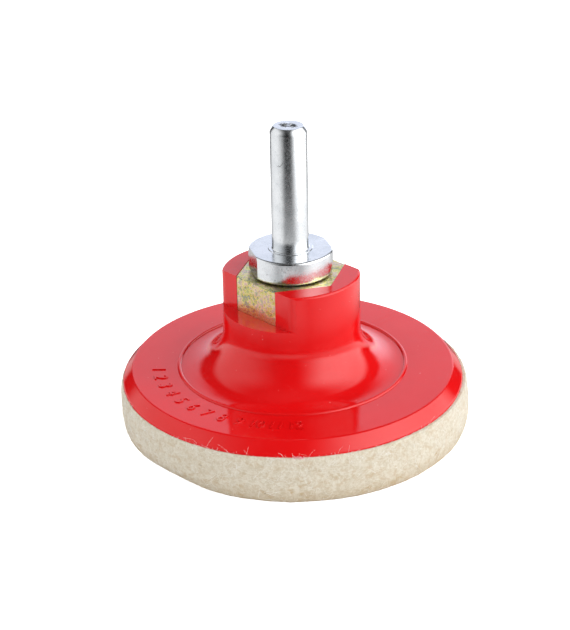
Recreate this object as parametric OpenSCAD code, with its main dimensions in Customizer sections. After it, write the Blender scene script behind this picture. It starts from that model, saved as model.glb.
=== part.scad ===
// Felt polishing wheel with a drill spindle.
// Origin: spindle axis at the felt's working face. +Z runs up the shank, and the two exposed
// faces of the hexagon insert look along +Y and -Y. Millimetres.

/* [Felt disc] */
// How far the felt disc reaches past the pad's plate, in radius
felt_over = 0.3; // [-1:0.1:5]
// Thickness of the felt disc
felt_t = 9.9; // [3:0.1:30]
// Rounding of the felt's lower edge
felt_edge = 0.6; // [0.1:0.1:1.5]
// How far the felt disc is stuck off centre along X
felt_shift_x = 0.6; // [-1.5:0.1:1.5]
// How far the felt disc is stuck off centre along Y
felt_shift_y = 0.6; // [-1.5:0.1:1.5]

/* [Hook and loop] */
// Thickness of the glue film under the loop fabric
felt_glue_t = 0.15; // [0.05:0.05:0.5]
// Thickness of the loop fabric on the felt
loop_t = 0.6; // [0.3:0.1:2]
// How much smaller in radius the loop fabric is than the felt
loop_inset = 0.4; // [0:0.1:3]
// Thickness of the hook sheet, hooks included
hook_t = 0.7; // [0.3:0.1:2]
// Gap around the hook sheet in the pad's recess
hook_gap = 0.3; // [0.1:0.1:1]
// Thickness of the glue film above the hook sheet
pad_glue_t = 0.15; // [0.05:0.05:0.5]

/* [Pad plate] */
// Diameter of the pad's plate
plate_d = 75; // [60:0.5:160]
// Height of the plate, from its lower rim to its flat top
plate_h = 3.05; // [2.8:0.05:10]
// Width of the bevel round the plate's top
bevel_w = 2.25; // [0.5:0.05:5]
// Height of the upright rim under the bevel
rim_h = 0.55; // [0.2:0.05:1]
// Width of the lip round the recess for the hook sheet
lip_w = 1.3; // [0.5:0.1:4]
// Flat strip between the flare's foot and the raised ring
ring_gap = 0.3; // [0.1:0.05:3]
// Width of the raised ring
ring_w = 0.9; // [0.4:0.1:2]
// Height of the raised ring
ring_h = 0.4; // [0.1:0.05:0.45]

/* [Hub] */
// Diameter of the hub
hub_d = 30.2; // [27:0.1:40]
// Height of the hub above the plate's flat top
hub_h = 22.1; // [19:0.1:40]
// Radius of the hollow curve between hub and plate
flare_r = 9.3; // [1:0.1:12]
// Rounding of the hub's top edge
hub_edge = 0.5; // [0.1:0.1:1]
// Height of the ledge under each spanner window, above the plate's flat top
ledge_h = 14.1; // [10:0.1:18]
// Radial room that the moulded hollow under the insert leaves round the thread
relief_gap = 0.4; // [0.2:0.1:1.5]
// Depth of that hollow
relief_h = 2.2; // [0.5:0.1:3]

/* [Hexagon insert] */
// Width of the insert across its flats
hex_af = 21; // [17.2:0.1:24]
// Length of the insert
hex_l = 17.8; // [8:0.1:18]
// How much the insert's corners are blunted, in radius
hex_blunt = 0.22; // [0.05:0.01:0.6]
// How deep the insert's top lies below the hub's top
hex_sink = 0.1; // [0:0.05:0.6]
// Width of the moulded-in groove round the insert
grip_w = 2; // [1:0.1:3]
// Depth of that groove, from the flats
grip_depth = 0.9; // [0.3:0.1:1]

/* [Thread] */
// Outer diameter of the thread
thread_d = 14; // [10:0.5:17]
// Pitch of the thread
thread_pitch = 2; // [1:0.25:2]
// Number of full thread grooves on the stud
thread_turns = 5; // [2:1:7]
// Radial running gap between the stud and the insert
thread_gap = 0.08; // [0.04:0.01:0.1]

/* [Spindle] */
// Diameter of the shank
shank_d = 8; // [5:0.1:10]
// Length of the shank above the flange
shank_l = 27.6; // [15:0.1:60]
// Height of the cone at the shank's end
tip_h = 1.15; // [0.2:0.05:2]
// How much the cone narrows the shank, in radius
tip_w = 0.75; // [0.2:0.05:1.5]
// Diameter of the flange
flange_d = 18.4; // [16.5:0.1:20]
// Height of the flange
flange_h = 5.15; // [2.5:0.05:12]
// Width across the flange's two spanner flats
flange_af = 17; // [14.5:0.1:18]
// Direction that the first flange flat faces, in degrees from +X
flange_turn = 62.5; // [-180:0.5:180]
// Rounding of the flange's edges
flange_edge = 0.5; // [0.1:0.1:0.9]
// Gap between the flange and the insert, before the last part turn
seat_gap = 0.3; // [0.1:0.05:0.6]
// Width of the turned ring round the foot of the shank
foot_w = 0.9; // [0.3:0.1:2]
// Height of that ring
foot_h = 0.12; // [0.05:0.01:0.4]
// Length of the plain neck between flange and thread
neck_l = 1.2; // [0.8:0.1:3]

/* [Hidden] */
$fn = 96;

// Heights of the layers, from the working face up
z_felt_glue = felt_t;
z_loop = z_felt_glue + felt_glue_t;
z_rim = z_loop + loop_t;
z_pad_glue = z_rim + hook_t;
z_recess = z_pad_glue + pad_glue_t;
z_plate = z_rim + plate_h;
z_ledge = z_plate + ledge_h;
z_hub = z_plate + hub_h;
z_hex = z_hub - hex_sink;
z_hex_foot = z_hex - hex_l;
z_flange = z_hex + seat_gap;
z_shank = z_flange + flange_h;
z_tip = z_shank + shank_l;

plate_r = plate_d / 2;
felt_r = plate_r + felt_over;
loop_r = felt_r - loop_inset;
recess_r = plate_r - lip_w;
hook_r = recess_r - hook_gap;
hub_r = hub_d / 2;
flange_r = flange_d / 2;
shank_r = shank_d / 2;
foot_r = shank_r + foot_w;
hex_corner_r = hex_af / sqrt(3) - hex_blunt;
relief_r = thread_d / 2 + relief_gap;
ring_r = hub_r + flare_r + ring_gap + ring_w / 2;

// Radius of the circle whose cap is the raised ring, and its centre above the plate
ring_curve = (ring_w * ring_w / 4 + ring_h * ring_h) / (2 * ring_h);
ring_rise = ring_h - ring_curve;

// Thread: 60 degree flanks, crests an eighth of the pitch wide
flank_depth = 0.6134 * thread_pitch;
crest_half = thread_pitch / 16;
root_half = thread_pitch / 8;
stud_r = thread_d / 2 - thread_gap / 2;
stud_core = stud_r - flank_depth;
z_thread = z_flange - neck_l;
stud_foot = z_thread - thread_pitch * thread_turns;
slip = 0.01;

// One side of a run of thread grooves: points from the top crest down
function groove_points(top, turns, crest_r, depth) = [
    for (i = [0:turns - 1])
        let (z = top - i * thread_pitch)
            each [
                [crest_r, z - crest_half],
                [crest_r - depth, z - thread_pitch / 2 + root_half],
                [crest_r - depth, z - thread_pitch / 2 - root_half],
                [crest_r, z - thread_pitch + crest_half]
            ]
];

// Outline of a disc with its upper outer edge rounded
module rounded_outline(radius, low, high, edge) {
    translate([0, low])
        square([radius, high - low - edge]);
    translate([0, low])
        square([radius - edge, high - low]);
    translate([radius - edge, high - edge])
        circle(r = edge);
}

// Disc of one layer, placed with the felt
module felt_layer(radius, low, thickness) {
    translate([felt_shift_x, felt_shift_y, low])
        cylinder(r = radius, h = thickness);
}

module felt_disc() {
    color("wheat")
        translate([felt_shift_x, felt_shift_y, 0])
            mirror([0, 0, 1])
                rotate_extrude()
                    rounded_outline(felt_r, -felt_t, 0, felt_edge);
}

module felt_adhesive() {
    color("lightyellow")
        felt_layer(loop_r, z_felt_glue, felt_glue_t);
}

module loop_backing() {
    color("ivory")
        felt_layer(loop_r, z_loop, loop_t);
}

module hook_sheet() {
    color("dimgray")
        translate([0, 0, z_rim])
            cylinder(r = hook_r, h = hook_t);
}

module pad_adhesive() {
    color("lightyellow")
        translate([0, 0, z_pad_glue])
            cylinder(r = hook_r, h = pad_glue_t);
}

// Hexagon prism with flats facing +Y and -Y and blunted corners
module hex_bar(low, height, across, corner_r) {
    intersection() {
        translate([0, 0, low])
            cylinder(r = across / sqrt(3), h = height, $fn = 6);
        translate([0, 0, low])
            cylinder(r = corner_r, h = height);
    }
}

// The insert's outside: a hexagon bar with a round groove that the plastic grips
module insert_body() {
    grip_low = z_hex_foot + (z_ledge - z_hex_foot - grip_w) / 2;
    difference() {
        hex_bar(z_hex_foot, hex_l, hex_af, hex_corner_r);
        translate([0, 0, grip_low])
            difference() {
                cylinder(r = hex_af, h = grip_w);
                cylinder(r = hex_af / 2 - grip_depth, h = grip_w);
            }
    }
}

module plate_outline() {
    difference() {
        polygon([
            [0, z_rim],
            [plate_r, z_rim],
            [plate_r, z_rim + rim_h],
            [plate_r - bevel_w, z_plate],
            [0, z_plate]
        ]);
        translate([0, z_rim])
            square([recess_r, z_recess - z_rim]);
    }
}

module flare_outline() {
    difference() {
        translate([0, z_plate])
            square([hub_r + flare_r, flare_r]);
        translate([hub_r + flare_r, z_plate + flare_r])
            circle(r = flare_r);
    }
}

module ring_outline() {
    intersection() {
        translate([ring_r, z_plate + ring_rise])
            circle(r = ring_curve);
        translate([ring_r - ring_w, z_plate - ring_h / 2])
            square([2 * ring_w, 2 * ring_h]);
    }
}

// Space that a spanner takes beside one hexagon face, above the ledge
module spanner_window() {
    translate([-hub_r, hex_af / 2, z_ledge])
        cube([2 * hub_r, hub_r, hub_h]);
}

module backing_pad() {
    color("red")
        difference() {
            rotate_extrude() {
                plate_outline();
                flare_outline();
                ring_outline();
                rounded_outline(hub_r, z_recess, z_hub, hub_edge);
            }
            spanner_window();
            mirror([0, 1, 0])
                spanner_window();
            insert_body();
            translate([0, 0, z_hex])
                hex_bar(0, hub_h, hex_af, hex_corner_r);
            translate([0, 0, z_hex_foot - relief_h])
                cylinder(r = relief_r, h = relief_h);
        }
}

module insert_thread() {
    turns = ceil(hex_l / thread_pitch) + 1;
    crest_r = stud_r + thread_gap;
    bottom = z_thread - turns * thread_pitch;
    rotate_extrude()
        polygon(concat(
            [[0, z_hex + hub_h], [crest_r, z_hex + hub_h]],
            groove_points(z_thread, turns, crest_r, flank_depth),
            [[crest_r, bottom - hub_h], [0, bottom - hub_h]]
        ));
}

module hex_insert() {
    color("khaki")
        difference() {
            insert_body();
            insert_thread();
        }
}

module stud() {
    rotate_extrude()
        polygon(concat(
            [[0, z_flange + flange_h / 2], [stud_core, z_flange + flange_h / 2], [stud_core, z_thread]],
            [[stud_r, z_thread - crest_half / 2]],
            groove_points(z_thread, thread_turns, stud_r, flank_depth),
            [[stud_core, stud_foot - flank_depth / 2], [0, stud_foot - flank_depth / 2]]
        ));
}

// Flange: both edges rounded, with a pair of spanner flats
module flange() {
    middle = z_flange + flange_h / 2;
    difference() {
        union() {
            rotate_extrude()
                rounded_outline(flange_r, middle, z_shank, flange_edge);
            translate([0, 0, middle])
                mirror([0, 0, 1])
                    rotate_extrude()
                        rounded_outline(flange_r, 0, flange_h / 2, flange_edge);
        }
        for (side = [0, 180])
            rotate([0, 0, flange_turn + side])
                translate([flange_af / 2, -flange_r, z_flange - slip])
                    cube([flange_r, 2 * flange_r, flange_h + 2 * slip]);
    }
}

module shank() {
    translate([0, 0, z_shank]) {
        cylinder(r1 = foot_r, r2 = foot_r - foot_h, h = foot_h);
        cylinder(r = shank_r, h = shank_l - tip_h);
        translate([0, 0, shank_l - tip_h])
            cylinder(r1 = shank_r, r2 = shank_r - tip_w, h = tip_h);
    }
}

module spindle() {
    color("silver") {
        stud();
        flange();
        shank();
    }
}

felt_disc();
felt_adhesive();
loop_backing();
hook_sheet();
pad_adhesive();
backing_pad();
hex_insert();
spindle();
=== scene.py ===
"""Felt polishing wheel: the visible pieces, their finishes, the studio and the camera.

Everything is modelled in millimetres and settled to metres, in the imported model's own frame:
+Z up the shank, origin on the spindle axis at the felt's working face.
"""
import logging
import math
import random
from collections.abc import Callable, Iterator, Sequence
from contextlib import contextmanager
from dataclasses import dataclass, field
from enum import Enum

import bmesh
import bpy
from mathutils import Matrix, Quaternion, Vector


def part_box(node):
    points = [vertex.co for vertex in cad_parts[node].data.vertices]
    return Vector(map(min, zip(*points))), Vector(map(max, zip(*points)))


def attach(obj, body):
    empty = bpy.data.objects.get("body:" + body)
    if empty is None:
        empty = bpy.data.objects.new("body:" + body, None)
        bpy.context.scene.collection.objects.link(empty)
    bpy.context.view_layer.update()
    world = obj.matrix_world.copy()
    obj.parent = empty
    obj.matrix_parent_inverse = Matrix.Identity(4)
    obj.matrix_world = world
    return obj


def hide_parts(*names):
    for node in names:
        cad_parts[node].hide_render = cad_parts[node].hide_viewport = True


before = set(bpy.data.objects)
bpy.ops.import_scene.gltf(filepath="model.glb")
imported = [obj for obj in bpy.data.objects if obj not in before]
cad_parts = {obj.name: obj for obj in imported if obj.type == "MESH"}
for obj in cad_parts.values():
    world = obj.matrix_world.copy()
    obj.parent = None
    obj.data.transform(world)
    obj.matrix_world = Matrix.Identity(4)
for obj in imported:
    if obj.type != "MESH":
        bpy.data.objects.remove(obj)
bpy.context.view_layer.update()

MM = 0.001
STEPS = 192
SMOOTH_ANGLE = math.radians(38)
CAP_TO_SIZE = 1.37
LOG = logging.getLogger("wheel")

Pair = tuple[float, float]
Triple = tuple[float, float, float]
Outline = list[Pair]
Colour = Triple


class Part(Enum):
    """What kind of mesh element a selection is made of, with its name in bmesh."""

    VERT = "verts"
    EDGE = "edges"


class Body(Enum):
    """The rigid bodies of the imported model."""

    DISC = "disc"
    PAD = "pad"
    SPINDLE = "spindle"


# ---------------------------------------------------------------------------------------------
# Modelling helpers
# ---------------------------------------------------------------------------------------------


def arc(centre: Pair, radius: float, start: float, end: float, count: int) -> Outline:
    """Points along an arc of an outline.

    Args:
        centre: The arc's centre, as radius and height.
        radius: The arc's radius.
        start: Angle of the first point in degrees, from outwards towards up.
        end: Angle of the last point in degrees.
        count: Number of stretches that the arc is cut into.

    Returns:
        The points, both ends included.
    """
    angles = (math.radians(start + (end - start) * i / count) for i in range(count + 1))
    return [(centre[0] + radius * math.cos(a), centre[1] + radius * math.sin(a)) for a in angles]


def line(start: Pair, end: Pair, count: int) -> Outline:
    """Evenly spaced points of an outline from start, left out, to end.

    Args:
        start: The stretch's first point, as radius and height.
        end: The stretch's last point.
        count: Number of points returned.

    Returns:
        The points.
    """
    return [
        (start[0] + (end[0] - start[0]) * i / count, start[1] + (end[1] - start[1]) * i / count)
        for i in range(1, count + 1)
    ]


def mm_box(node: str) -> tuple[Vector, Vector]:
    """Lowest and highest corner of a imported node, in millimetres.

    Args:
        node: The node's name.

    Returns:
        The two corners.
    """
    low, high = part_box(node)
    return Vector(low) / MM, Vector(high) / MM


def make_active(obj: bpy.types.Object) -> None:
    """Selects one object alone and makes it active.

    Args:
        obj: The object.
    """
    bpy.ops.object.select_all(action="DESELECT")
    obj.select_set(True)
    bpy.context.view_layer.objects.active = obj


def add(name: str, operator: Callable[..., object], **settings: object) -> bpy.types.Object:
    """Adds a new object with an operator, with nothing else selected.

    Args:
        name: The new object's name.
        operator: The operator that adds it.
        **settings: The operator's settings.

    Returns:
        The new object.
    """
    bpy.ops.object.select_all(action="DESELECT")
    operator(**settings)
    obj = bpy.context.object
    obj.name = name
    return obj


def fix_place(obj: bpy.types.Object) -> None:
    """Moves an object's place, turn and size into its mesh.

    Args:
        obj: The object.
    """
    make_active(obj)
    bpy.ops.object.transform_apply(location=True, rotation=True, scale=True)


@contextmanager
def editing(obj: bpy.types.Object) -> Iterator[None]:
    """Edit mode on one object, with nothing selected at the start.

    Args:
        obj: The object to edit.

    Yields:
        Nothing; edit mode lasts until the block ends.
    """
    make_active(obj)
    bpy.ops.object.mode_set(mode="EDIT")
    bpy.ops.mesh.select_all(action="DESELECT")
    yield
    bpy.ops.object.mode_set(mode="OBJECT")


def select(obj: bpy.types.Object, part: Part, test: Callable[..., bool]) -> int:
    """Selects mesh elements in edit mode by their place or normal.

    Args:
        obj: The object in edit mode.
        part: The kind of element.
        test: Says whether an element is selected.

    Returns:
        How many elements are selected.
    """
    bpy.ops.mesh.select_mode(type=part.name)
    bpy.ops.mesh.select_all(action="DESELECT")
    mesh = bmesh.from_edit_mesh(obj.data)
    chosen = [item for item in getattr(mesh, part.value) if test(item)]
    for item in chosen:
        item.select_set(True)
    mesh.select_flush_mode()
    bmesh.update_edit_mesh(obj.data)
    return len(chosen)


def turned(
    name: str,
    outline: Outline,
    steps: int = STEPS,
    centre: Pair = (0, 0),
    lean: Pair = (0, 0),
) -> bpy.types.Object:
    """A closed solid of revolution: a disc extruded and resized from ring to ring.

    Args:
        name: The new object's name.
        outline: Radius and height of each ring, from the first cap to the last.
        steps: Number of facets round the axis.
        centre: Where the axis stands.
        lean: How far the axis drifts sideways for each unit of height.

    Returns:
        The new object.
    """
    radius, height = outline[0]
    circle = {"vertices": steps, "radius": radius, "fill_type": "NGON"}
    obj = add(name, bpy.ops.mesh.primitive_circle_add, location=(*centre, height), **circle)
    fix_place(obj)
    with editing(obj):
        bpy.ops.mesh.select_all(action="SELECT")
        base = height
        for next_radius, next_height in outline[1:]:
            step = next_height - height
            bpy.ops.mesh.extrude_region_move(
                TRANSFORM_OT_translate={"value": (lean[0] * step, lean[1] * step, step)}
            )
            grow = next_radius / radius
            drift = next_height - base
            axis = (centre[0] + lean[0] * drift, centre[1] + lean[1] * drift, next_height)
            bpy.ops.transform.resize(value=(grow, grow, 1), center_override=axis)
            radius, height = next_radius, next_height
        bpy.ops.mesh.select_all(action="SELECT")
        bpy.ops.mesh.normals_make_consistent(inside=False)
    return obj


def hexagon(name: str, outline: Outline, blunt: float) -> bpy.types.Object:
    """A six-sided solid with two flats across Y and blunted upright corners.

    Args:
        name: The new object's name.
        outline: Corner radius and height of each ring.
        blunt: Width of the blunting.

    Returns:
        The new object.
    """
    obj = turned(name, outline, 6)
    obj.rotation_euler.z = math.radians(30)
    fix_place(obj)
    with editing(obj):
        select(obj, Part.EDGE, lambda e: abs(e.verts[0].co.z - e.verts[1].co.z) > 1)
        bpy.ops.mesh.bevel(offset=blunt, segments=2, affect="EDGES")
    return obj


def block(name: str, low: Sequence[float], high: Sequence[float], turn: float = 0) -> bpy.types.Object:
    """A box between two corners, turned about the spindle axis.

    Args:
        name: The new object's name.
        low: Its lowest corner.
        high: Its highest corner.
        turn: Angle about the axis, in degrees.

    Returns:
        The new object.
    """
    middle = [(a + b) / 2 for a, b in zip(low, high)]
    obj = add(name, bpy.ops.mesh.primitive_cube_add, size=1, location=middle)
    obj.scale = [b - a for a, b in zip(low, high)]
    fix_place(obj)
    obj.rotation_euler.z = math.radians(turn)
    fix_place(obj)
    return obj


def apply(obj: bpy.types.Object, modifier: bpy.types.Modifier) -> None:
    """Applies one modifier of an object.

    Args:
        obj: The object.
        modifier: The modifier.
    """
    make_active(obj)
    bpy.ops.object.modifier_apply(modifier=modifier.name)


def cut(obj: bpy.types.Object, tool: bpy.types.Object) -> None:
    """Cuts a closed tool out of an object, and drops the tool.

    Args:
        obj: The object that is cut.
        tool: The shape that is taken away.
    """
    modifier = obj.modifiers.new("cut", "BOOLEAN")
    modifier.operation = "DIFFERENCE"
    modifier.solver = "EXACT"
    modifier.object = tool
    apply(obj, modifier)
    bpy.data.objects.remove(tool)


def soften(obj: bpy.types.Object, width: float, angle: float = 45) -> None:
    """Rounds the edges of an object that are sharper than an angle.

    Args:
        obj: The object.
        width: Width of the rounding.
        angle: Least angle between faces, in degrees.
    """
    modifier = obj.modifiers.new("edge", "BEVEL")
    modifier.width = width
    modifier.segments = 2
    modifier.limit_method = "ANGLE"
    modifier.angle_limit = math.radians(angle)
    apply(obj, modifier)


def ruffle(obj: bpy.types.Object, size: float, height: float) -> None:
    """Pushes the surface in and out by a procedural texture.

    Args:
        obj: The object.
        size: Size of the texture's lumps.
        height: Greatest difference in height.
    """
    texture = bpy.data.textures.new(obj.name + "_lumps", "CLOUDS")
    texture.noise_scale = size
    modifier = obj.modifiers.new("ruffle", "DISPLACE")
    modifier.texture = texture
    modifier.texture_coords = "LOCAL"
    modifier.strength = height
    modifier.mid_level = 0.5
    apply(obj, modifier)


def join(name: str, objects: list[bpy.types.Object]) -> bpy.types.Object:
    """Joins objects into the first of them.

    Args:
        name: Name of the joined object.
        objects: The objects.

    Returns:
        The joined object.
    """
    make_active(objects[0])
    for obj in objects[1:]:
        obj.select_set(True)
    bpy.ops.object.join()
    objects[0].name = name
    return objects[0]


def settle(obj: bpy.types.Object, angle: float, weigh: bool) -> None:
    """Brings a piece from millimetres to metres and shades it smooth between its sharp edges.

    Args:
        obj: The piece.
        angle: Angle in radians past which an edge stays sharp.
        weigh: Whether large flat faces pull the shading towards themselves.
    """
    obj.scale = (MM, MM, MM)
    fix_place(obj)
    bpy.ops.object.shade_smooth_by_angle(angle=angle)
    if weigh:
        modifier = obj.modifiers.new("weigh", "WEIGHTED_NORMAL")
        modifier.keep_sharp = True
        modifier.weight = 100
        apply(obj, modifier)


def hand_over(
    obj: bpy.types.Object,
    body: Body,
    slot: str,
    material: bpy.types.Material,
    *nodes: str,
    angle: float = SMOOTH_ANGLE,
    weigh: bool = True,
) -> None:
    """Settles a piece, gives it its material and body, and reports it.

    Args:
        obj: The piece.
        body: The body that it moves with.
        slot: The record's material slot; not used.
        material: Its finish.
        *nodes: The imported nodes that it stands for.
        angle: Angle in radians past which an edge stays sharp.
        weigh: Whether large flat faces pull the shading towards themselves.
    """
    settle(obj, angle, weigh)
    obj.data.materials.clear()
    obj.data.materials.append(material)
    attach(obj, body.value)
    if nodes:
        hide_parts(*nodes)
    LOG.info("%s: %d faces on %s", obj.name, len(obj.data.polygons), body.value)


# ---------------------------------------------------------------------------------------------
# Finishes
# ---------------------------------------------------------------------------------------------


class Graph:
    """A short way to wire shader nodes."""

    def __init__(self, tree: bpy.types.NodeTree) -> None:
        """Empties a node tree to wire it anew.

        Args:
            tree: The tree of a material or a world.
        """
        self.tree = tree
        tree.nodes.clear()

    def node(self, kind: str, **settings: object) -> bpy.types.Node:
        """Adds a node.

        Args:
            kind: The node's type.
            **settings: Its properties.

        Returns:
            The node.
        """
        node = self.tree.nodes.new(kind)
        for name, value in settings.items():
            setattr(node, name, value)
        return node

    def feed(self, socket: bpy.types.NodeSocket, value: object) -> None:
        """Links a socket to another, or sets its value.

        Args:
            socket: The input.
            value: A socket, number or colour.
        """
        if isinstance(value, bpy.types.NodeSocket):
            self.tree.links.new(value, socket)
        elif isinstance(value, tuple) and len(value) == 3 and socket.type == "RGBA":
            socket.default_value = (*value, 1)
        else:
            socket.default_value = value

    def math(self, operation: str, a: object, b: object = 0.0, c: object = 0.0) -> bpy.types.NodeSocket:
        """A Math node's result.

        Args:
            operation: The operation's name.
            a: First value.
            b: Second value.
            c: Third value.

        Returns:
            The result.
        """
        node = self.node("ShaderNodeMath", operation=operation)
        for socket, value in zip(node.inputs, (a, b, c)):
            self.feed(socket, value)
        return node.outputs[0]

    def place(self, stretch: Triple = (1, 1, 1), shift: Triple = (0, 0, 0)) -> bpy.types.NodeSocket:
        """Object coordinates in millimetres.

        Args:
            stretch: Further scale along each axis.
            shift: Offset, to keep patterns apart.

        Returns:
            The coordinates.
        """
        source = self.node("ShaderNodeTexCoord")
        mapping = self.node("ShaderNodeMapping")
        mapping.inputs["Scale"].default_value = [s / MM for s in stretch]
        mapping.inputs["Location"].default_value = shift
        self.feed(mapping.inputs["Vector"], source.outputs["Object"])
        return mapping.outputs[0]

    def noise(
        self, where: object, scale: float, detail: float = 2, rough: float = 0.5, warp: float = 0
    ) -> bpy.types.NodeSocket:
        """Noise between 0 and 1.

        Args:
            where: Coordinates.
            scale: Lumps for each millimetre.
            detail: Number of finer layers.
            rough: Strength of the finer layers.
            warp: Distortion.

        Returns:
            The noise.
        """
        node = self.node("ShaderNodeTexNoise")
        settings = {"Vector": where, "Scale": scale, "Detail": detail, "Roughness": rough, "Distortion": warp}
        for name, value in settings.items():
            self.feed(node.inputs[name], value)
        return node.outputs["Fac"]

    def span(
        self, value: object, low: float, high: float, to_low: float = 0, to_high: float = 1
    ) -> bpy.types.NodeSocket:
        """Eases a value from one range to another.

        Args:
            value: The value.
            low: Where the first range starts.
            high: Where it ends.
            to_low: Result at low.
            to_high: Result at high.

        Returns:
            The result.
        """
        node = self.node("ShaderNodeMapRange", interpolation_type="SMOOTHSTEP")
        names = ("Value", "From Min", "From Max", "To Min", "To Max")
        for name, number in zip(names, (value, low, high, to_low, to_high)):
            self.feed(node.inputs[name], number)
        return node.outputs["Result"]

    def times(self, a: object, b: object) -> bpy.types.NodeSocket:
        """Two values multiplied."""
        return self.math("MULTIPLY", a, b)

    def blend(self, amount: object, a: object, b: object) -> bpy.types.NodeSocket:
        """Mixes two colours.

        Args:
            amount: Share of the second colour.
            a: First colour.
            b: Second colour.

        Returns:
            The mixed colour.
        """
        node = self.node("ShaderNodeMix", data_type="RGBA")
        self.feed(node.inputs[0], amount)
        self.feed(node.inputs[6], a)
        self.feed(node.inputs[7], b)
        return node.outputs[2]

    def ramp(self, value: object, stops: Sequence[tuple[float, Colour]]) -> bpy.types.NodeSocket:
        """Colours along a scale.

        Args:
            value: Place on the scale.
            stops: Places and their colours.

        Returns:
            The colour.
        """
        node = self.node("ShaderNodeValToRGB")
        elements = node.color_ramp.elements
        for place, colour in stops[2:]:
            elements.new(place)
        for element, (place, colour) in zip(elements, stops):
            element.position = place
            element.color = (*colour, 1)
        self.feed(node.inputs[0], value)
        return node.outputs[0]

    def bump(self, height: object, depth: float, after: object = None) -> bpy.types.NodeSocket:
        """A bumped normal.

        Args:
            height: Height between 0 and 1.
            depth: Millimetres that a height of 1 stands for.
            after: A normal that this one adds to.

        Returns:
            The normal.
        """
        node = self.node("ShaderNodeBump")
        node.inputs["Strength"].default_value = 1
        node.inputs["Distance"].default_value = depth * MM
        self.feed(node.inputs["Height"], height)
        if after is not None:
            self.feed(node.inputs["Normal"], after)
        return node.outputs[0]


class Finish:
    """A surface finish that is made into a material once."""

    name: str

    def wire(self, graph: Graph, shader: bpy.types.Node) -> None:
        """Wires the finish to a Principled shader.

        Args:
            graph: The material's graph.
            shader: The shader.
        """
        raise NotImplementedError

    def material(self) -> bpy.types.Material:
        """Makes the material.

        Returns:
            The material.
        """
        made = bpy.data.materials.new(self.name)
        made.use_nodes = True
        graph = Graph(made.node_tree)
        shader = graph.node("ShaderNodeBsdfPrincipled")
        output = graph.node("ShaderNodeOutputMaterial")
        graph.feed(output.inputs["Surface"], shader.outputs[0])
        self.wire(graph, shader)
        return made


@dataclass(frozen=True)
class MouldedRed(Finish):
    """Glossy moulded red plastic with faint ripple, dust and hairline rubs."""

    name: str = "moulded_red"
    red: Colour = (0.74, 0.006, 0.007)
    deep: Colour = (0.66, 0.004, 0.005)
    dust: Colour = (0.85, 0.35, 0.33)
    gloss: float = 0.07

    def wire(self, graph: Graph, shader: bpy.types.Node) -> None:
        """Wires the finish to a Principled shader.

        Args:
            graph: The material's graph.
            shader: The shader.
        """
        where = graph.place()
        cloud = graph.noise(where, 0.06, 2)
        specks = graph.span(graph.noise(where, 2.4, 1, 0.4), 0.80, 0.84)
        body = graph.blend(cloud, self.red, self.deep)
        graph.feed(shader.inputs["Base Color"], graph.blend(specks, body, self.dust))
        smear = graph.noise(graph.place((1, 1, 0.4), (7, 3, 1)), 0.35, 4, 0.6)
        graph.feed(shader.inputs["Roughness"], graph.span(smear, 0.3, 0.75, self.gloss, self.gloss + 0.07))
        shader.inputs["IOR"].default_value = 1.5
        ripple = graph.bump(graph.noise(where, 0.16, 1), 0.05)
        peel = graph.bump(graph.noise(where, 1.2, 2), 0.0018, ripple)
        sweep = graph.noise(graph.place((1, 1, 0.5), (3, 9, 5)), 0.16, 1, 0.3, 1.5)
        hair = graph.span(graph.math("ABSOLUTE", graph.math("SUBTRACT", sweep, 0.5)), 0, 0.0035, 1, 0)
        some = graph.span(graph.noise(graph.place((1, 1, 1), (6, 1, 8)), 0.3, 1), 0.52, 0.60)
        scratched = graph.bump(graph.times(hair, some), 0.012, peel)
        graph.feed(shader.inputs["Normal"], scratched)


@dataclass(frozen=True)
class BrightZinc(Finish):
    """Bright zinc plating over turned steel: a fine grain, faint spangle and a few pits."""

    name: str = "bright_zinc"
    silver: Colour = (0.85, 0.87, 0.89)
    smoke: Colour = (0.66, 0.69, 0.72)
    pit: Colour = (0.22, 0.23, 0.24)
    gloss: float = 0.16
    end_at: float = 68.4

    def wire(self, graph: Graph, shader: bpy.types.Node) -> None:
        """Wires the finish to a Principled shader.

        Args:
            graph: The material's graph.
            shader: The shader.
        """
        where = graph.place()
        cloud = graph.noise(where, 0.3, 3)
        spangle = graph.noise(graph.place((1, 1, 0.7)), 2.6, 3, 0.7)
        tone = graph.blend(graph.times(graph.span(cloud, 0.35, 0.7), 0.5), self.silver, self.smoke)
        worn = graph.blend(graph.span(spangle, 0.52, 0.70, 0, 0.35), tone, self.smoke)
        pits = graph.span(graph.noise(graph.place((1, 1, 1), (4, 6, 2)), 1.6, 2, 0.5), 0.73, 0.78)
        place = graph.node("ShaderNodeSeparateXYZ")
        graph.feed(place.inputs[0], where)
        across = graph.times(graph.math("ADD", place.outputs[0], place.outputs[1]), 0.40)
        along = graph.times(graph.math("SUBTRACT", place.outputs[0], place.outputs[1]), 0.58)
        oval = graph.math("ADD", graph.math("POWER", across, 2.0), graph.math("POWER", along, 2.0))
        torn = graph.math("ADD", oval, graph.times(spangle, 1.2))
        at_end = graph.math("GREATER_THAN", place.outputs[2], self.end_at)
        mark = graph.times(graph.span(torn, 1.2, 1.9, 1, 0), at_end)
        dark = graph.math("MAXIMUM", graph.times(pits, 0.8), graph.times(mark, 0.65))
        graph.feed(shader.inputs["Base Color"], graph.blend(dark, worn, self.pit))
        shader.inputs["Metallic"].default_value = 1
        graph.feed(shader.inputs["Roughness"], graph.span(spangle, 0.3, 0.7, self.gloss, self.gloss + 0.13))
        coarse = graph.bump(spangle, 0.009)
        lathe = graph.bump(graph.noise(graph.place((0.05, 0.05, 9)), 1, 1), 0.0010, coarse)
        graph.feed(shader.inputs["Normal"], lathe)


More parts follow.
